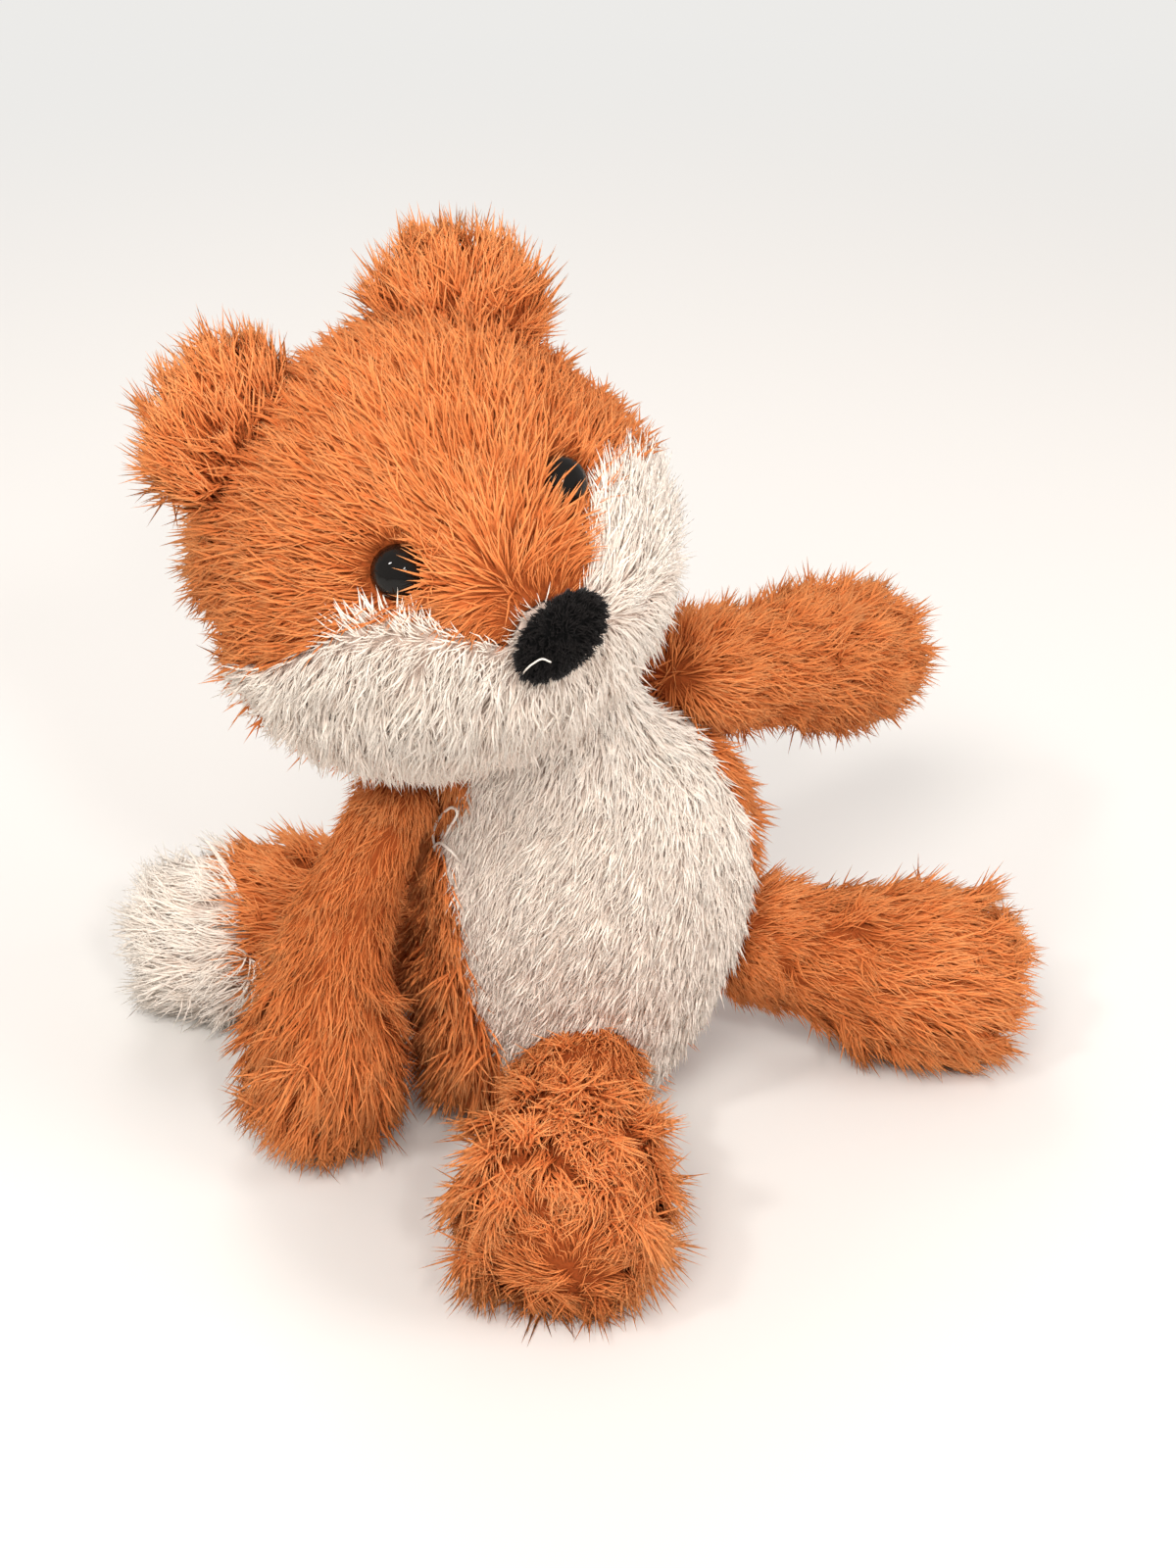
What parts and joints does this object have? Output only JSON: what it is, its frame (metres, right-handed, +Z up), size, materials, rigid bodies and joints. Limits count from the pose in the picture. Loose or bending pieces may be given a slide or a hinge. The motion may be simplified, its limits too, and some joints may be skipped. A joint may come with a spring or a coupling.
{
  "type": "plush fox",
  "caption": "Small seated fox of shaggy plush with a big tilted head, white muzzle, tummy and tail tip, and stubby arms, legs and tail that swing at their sewn roots",
  "frame": {"origin": "the middle of the flat seat under the torso, on the surface the fox sits on", "axes": "+Z up, the fox's chest faces -Y, its left side is +X"},
  "size_m": [0.1627, 0.1376, 0.1665],
  "materials": {
    "orange_plush": "shaggy pile",
    "white_plush": "shaggy pile",
    "fibre_fill": "loose fibre",
    "bag_cloth": "plain weave",
    "black_velour": "short nap",
    "black_plastic": "polished",
    "clear_plastic": "moulded"
  },
  "bodies": {
    "torso": {"torso_back_skin": "orange_plush", "tummy_panel": "white_plush", "torso_stuffing": "fibre_fill", "seat_bean_bag": "bag_cloth"},
    "head": {"head_skin": "orange_plush", "muzzle_panel": "white_plush", "head_stuffing": "fibre_fill", "ear_left_front": "orange_plush", "ear_left_back": "orange_plush", "ear_right_front": "orange_plush", "ear_right_back": "orange_plush", "eye_left": "black_plastic", "eye_right": "black_plastic", "eye_washer_left": "clear_plastic", "eye_washer_right": "clear_plastic", "nose": "black_velour"},
    "arm_left": {"arm_left_skin": "orange_plush", "arm_left_stuffing": "fibre_fill"},
    "arm_right": {"arm_right_skin": "orange_plush", "arm_right_stuffing": "fibre_fill"},
    "leg_left": {"leg_left_skin": "orange_plush", "leg_left_stuffing": "fibre_fill"},
    "leg_right": {"leg_right_skin": "orange_plush", "leg_right_stuffing": "fibre_fill"},
    "tail": {"tail_base_skin": "orange_plush", "tail_tip_skin": "white_plush", "tail_stuffing": "fibre_fill"}
  },
  "joints": [
    {"name": "neck_tilt", "type": "hinge", "parent": "torso", "child": "head", "pos_m": [-0.009, 0, 0.082], "axis": [0, 1, 0], "range_deg": [0, 28]},
    {"name": "arm_left_swing", "type": "hinge", "parent": "torso", "child": "arm_left", "pos_m": [0.0261, 0.011, 0.083], "axis": [0, 0, 1], "range_deg": [-45, 20]},
    {"name": "arm_right_lift", "type": "hinge", "parent": "torso", "child": "arm_right", "pos_m": [-0.0351, 0.003, 0.073], "axis": [0, 1, 0], "range_deg": [0, 70]},
    {"name": "leg_left_swing", "type": "hinge", "parent": "torso", "child": "leg_left", "pos_m": [0.037, 0, 0.027], "axis": [0, 0, 1], "range_deg": [-30, 25]},
    {"name": "leg_right_swing", "type": "hinge", "parent": "torso", "child": "leg_right", "pos_m": [-0.008, -0.018, 0.019], "axis": [0, 0, 1], "range_deg": [-15, 30]},
    {"name": "tail_swing", "type": "hinge", "parent": "torso", "child": "tail", "pos_m": [-0.012, 0.031, 0.02], "axis": [0, 0, 1], "range_deg": [-30, 15]}
  ]
}
